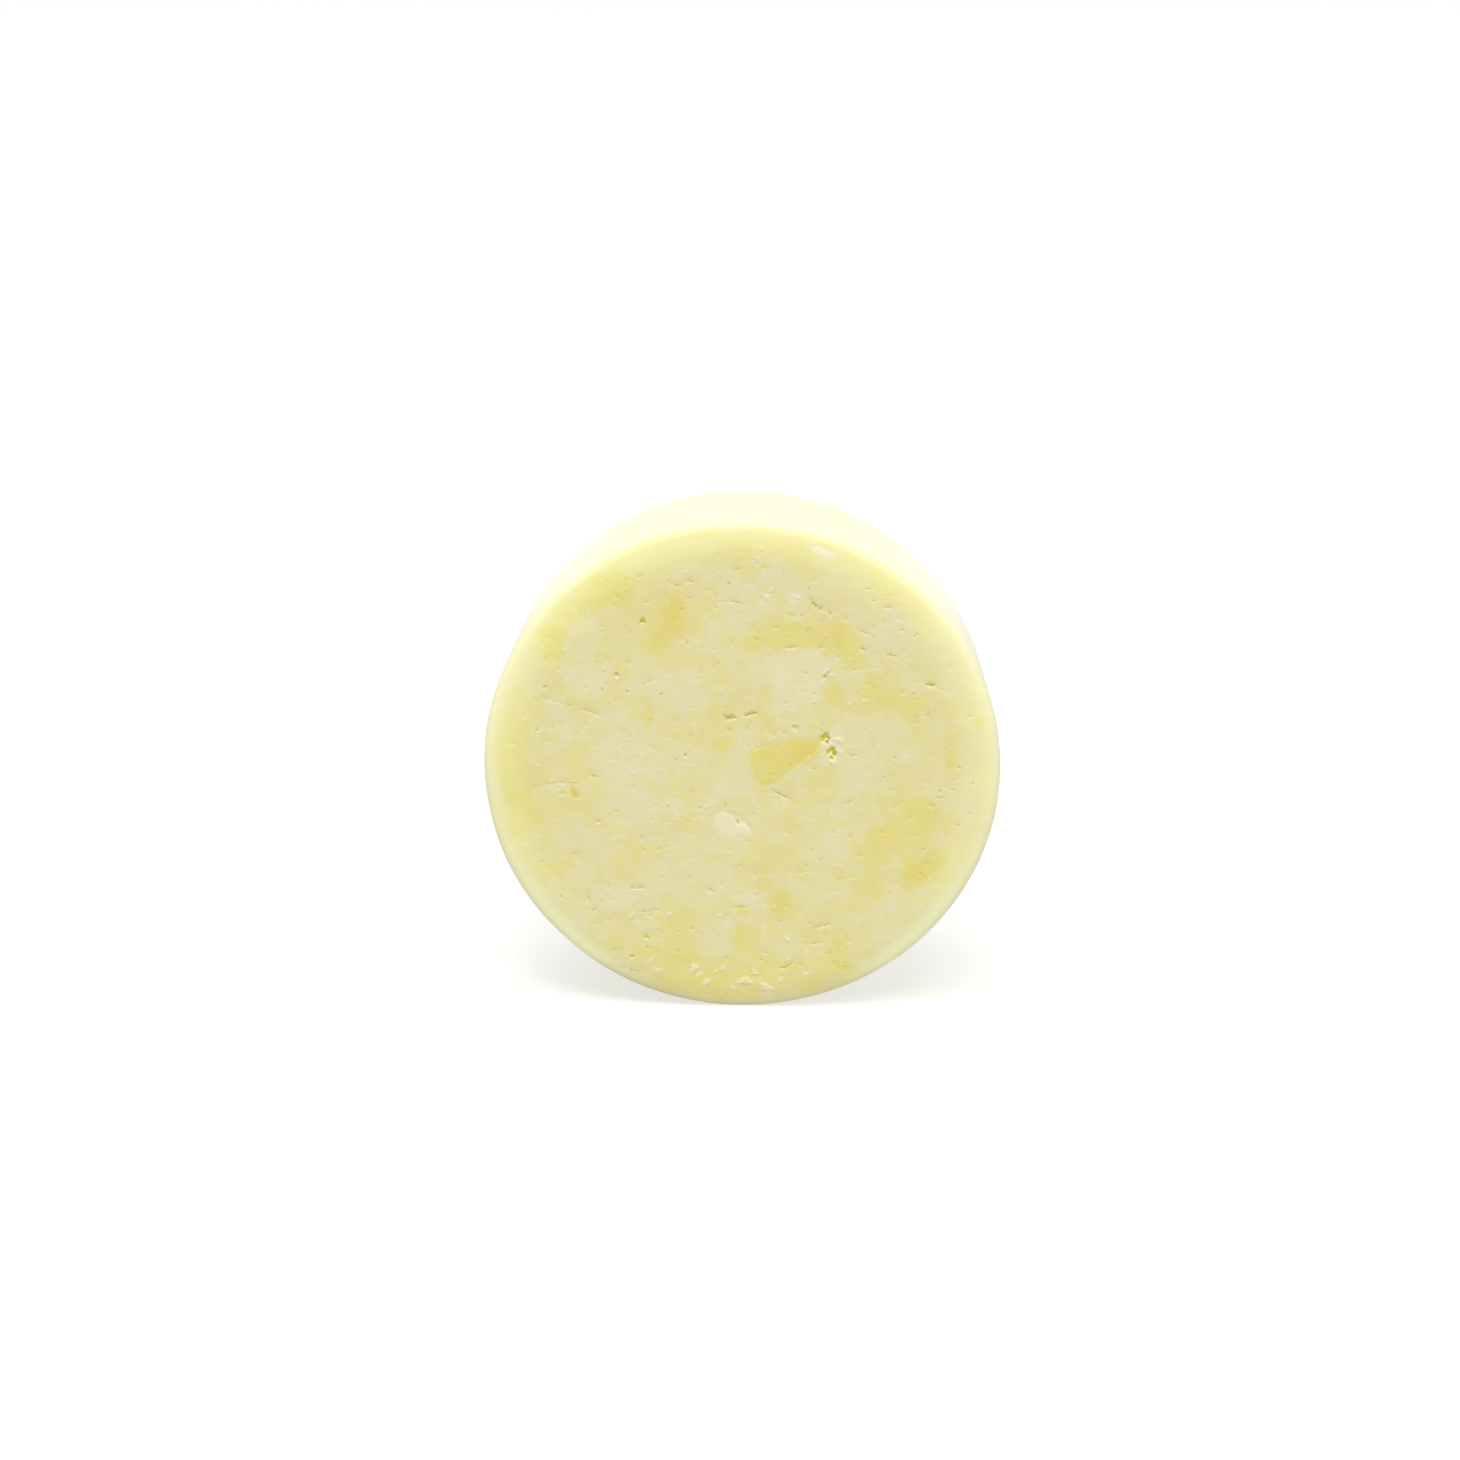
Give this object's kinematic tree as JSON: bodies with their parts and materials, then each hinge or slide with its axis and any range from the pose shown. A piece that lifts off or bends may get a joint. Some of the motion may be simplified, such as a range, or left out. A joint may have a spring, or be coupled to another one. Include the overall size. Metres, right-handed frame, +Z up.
{
  "type": "shaving soap puck",
  "caption": "Round hand-milled shaving soap puck standing on its rim, its cut face showing amber and ivory soap chips bound in a pale paste.",
  "frame": {"origin": "on the floor under the middle of the puck, which stands on the small flat of its rim", "axes": "+Z up, +Y along the puck's axis from the cut face to the back face, +X to the right of someone who looks at the cut face"},
  "size_m": [0.07, 0.02, 0.0698],
  "materials": {
    "soap_paste": "pale yellow soap, smooth and slightly waxy",
    "amber_soap": "clear amber soap, cut flush, slightly waxy",
    "ivory_soap": "chalky ivory soap, cut flush, matt"
  },
  "bodies": {
    "root": {"soap_paste": "soap_paste", "amber_wedge_chip": "amber_soap", "amber_arc_chip": "amber_soap", "amber_upper_left_chip": "amber_soap", "amber_right_chip": "amber_soap", "amber_block_chip": "amber_soap", "amber_streak_chip": "amber_soap", "amber_cloud_chip": "amber_soap", "amber_lower_chip": "amber_soap", "amber_lower_small_chip": "amber_soap", "amber_bottom_chip": "amber_soap", "amber_left_chip": "amber_soap", "amber_crown_chip": "amber_soap", "amber_middle_chip": "amber_soap", "amber_spot_chip": "amber_soap", "amber_corner_chip": "amber_soap", "amber_rim_chip": "amber_soap", "amber_sliver_chip": "amber_soap", "ivory_block_chip": "ivory_soap", "ivory_middle_chip": "ivory_soap", "ivory_middle_flake": "ivory_soap", "ivory_left_chip": "ivory_soap", "ivory_lower_left_chip": "ivory_soap", "ivory_upper_chip": "ivory_soap", "ivory_broad_chip": "ivory_soap", "ivory_bar_chip": "ivory_soap", "ivory_lower_chip": "ivory_soap", "ivory_upper_right_chip": "ivory_soap", "ivory_right_chip": "ivory_soap", "ivory_top_flake": "ivory_soap", "ivory_crumbly_chip": "ivory_soap", "ivory_lower_right_chip": "ivory_soap", "ivory_left_sliver": "ivory_soap", "ivory_side_chip": "ivory_soap", "amber_crumbs": "amber_soap", "ivory_crumbs": "ivory_soap", "back_amber_chips": "amber_soap", "back_ivory_chips": "ivory_soap"}
  },
  "joints": []
}
